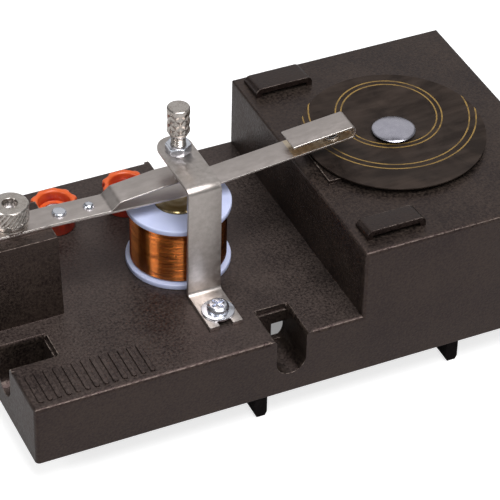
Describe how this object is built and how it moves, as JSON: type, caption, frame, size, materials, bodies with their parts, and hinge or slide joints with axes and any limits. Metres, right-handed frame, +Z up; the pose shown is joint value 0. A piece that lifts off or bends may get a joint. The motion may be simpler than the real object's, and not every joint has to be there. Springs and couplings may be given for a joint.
{
  "type": "ticker timer",
  "caption": "Ticker timer for motion experiments: an electromagnet shakes a clamped steel strip whose striker prints dots through a turning carbon disc onto a paper tape.",
  "frame": {"origin": "on the table, under the middle of the base", "axes": "+X from the strip's clamp to the carbon disc, +Y to the rear edge with the terminals, +Z up"},
  "size_m": [0.16, 0.0864, 0.0786],
  "materials": {
    "base_plastic": "fine matt grain",
    "foot_black": "matt",
    "bobbin_nylon": "satin, a little translucent",
    "copper_wire": "enamelled, glossy",
    "core_iron": "turned",
    "zinc_steel": "bright zinc plate",
    "nickel_steel": "satin nickel plate",
    "contact_silver": "bright",
    "red_plastic": "glossy",
    "tag_brass": "plain",
    "carbon_paper": "waxy matt",
    "pin_steel": "satin",
    "lead_red": "soft PVC",
    "lead_black": "soft PVC"
  },
  "bodies": {
    "base": {"base_moulding": "base_plastic", "feet": "foot_black", "tape_guides": "base_plastic", "coil_bobbin": "bobbin_nylon", "winding_pack": "copper_wire", "winding_wire": "copper_wire", "iron_core": "core_iron", "core_screw": "zinc_steel", "core_washer": "zinc_steel", "contact_bracket": "nickel_steel", "bracket_screw": "zinc_steel", "bracket_washer": "zinc_steel", "bracket_nut": "zinc_steel", "strip_root": "nickel_steel", "leaf_root": "nickel_steel", "clamp_stud": "zinc_steel", "stud_nut": "zinc_steel", "terminal_posts": "zinc_steel", "terminal_nuts": "tag_brass", "terminal_tags": "tag_brass", "disc_pin": "pin_steel", "pin_clip": "zinc_steel", "lead_strip": "lead_red", "lead_coil": "lead_black", "lead_bracket": "lead_black"},
    "arm": {"vibrating_strip": "nickel_steel", "contact_leaf": "nickel_steel", "strip_rivets": "zinc_steel", "leaf_contact": "contact_silver", "striker": "zinc_steel"},
    "contact_carrier": {"contact_tip": "contact_silver"},
    "contact_screw": {"contact_screw": "nickel_steel"},
    "lock_nut": {"lock_nut": "zinc_steel"},
    "clamp_washer": {"clamp_washer": "nickel_steel"},
    "thumb_nut": {"thumb_nut": "nickel_steel"},
    "cap_a": {"terminal_cap_a": "red_plastic"},
    "cap_b": {"terminal_cap_b": "red_plastic"},
    "disc": {"carbon_disc": "carbon_paper"}
  },
  "joints": [
    {"name": "strip_vibration", "type": "hinge", "parent": "base", "child": "arm", "pos_m": [-0.0586, 0, 0.053], "axis": [0, 1, 0], "range_deg": [0, 0.85], "stiffness_Nm_per_rad": 1, "springref_deg": -0.34},
    {"name": "contact_lift", "type": "slide", "parent": "base", "child": "contact_carrier", "axis": [0, 0, 1], "range_m": [0, 0.0021]},
    {"name": "contact_turn", "type": "hinge", "parent": "contact_carrier", "child": "contact_screw", "pos_m": [-0.0213, 0, 0.0641], "axis": [0, 0, 1], "range_deg": [0, 1080]},
    {"name": "lock_nut_turn", "type": "hinge", "parent": "base", "child": "lock_nut", "pos_m": [-0.0213, 0, 0.0641], "axis": [0, 0, 1], "range_deg": [0, 90]},
    {"name": "washer_lift", "type": "slide", "parent": "base", "child": "clamp_washer", "axis": [0, 0, 1], "range_m": [0, 0.0021]},
    {"name": "thumb_nut_turn", "type": "hinge", "parent": "clamp_washer", "child": "thumb_nut", "pos_m": [-0.0691, 0, 0.0545], "axis": [0, 0, 1], "range_deg": [0, 1080]},
    {"name": "cap_a_turn", "type": "hinge", "parent": "base", "child": "cap_a", "pos_m": [-0.0471, 0.0266, 0.0281], "axis": [0, 0, 1], "range_deg": [0, 360]},
    {"name": "cap_b_turn", "type": "hinge", "parent": "base", "child": "cap_b", "pos_m": [-0.0258, 0.0266, 0.0281], "axis": [0, 0, 1], "range_deg": [0, 360]},
    {"name": "disc_turn", "type": "hinge", "parent": "base", "child": "disc", "pos_m": [0.0436, 0, 0.0509], "axis": [0, 0, 1], "continuous": true}
  ],
  "couplings": [
    {"joint": "contact_turn", "follows": "contact_lift", "rad_per_m": 8975.9},
    {"joint": "thumb_nut_turn", "follows": "washer_lift", "rad_per_m": 8975.9}
  ]
}
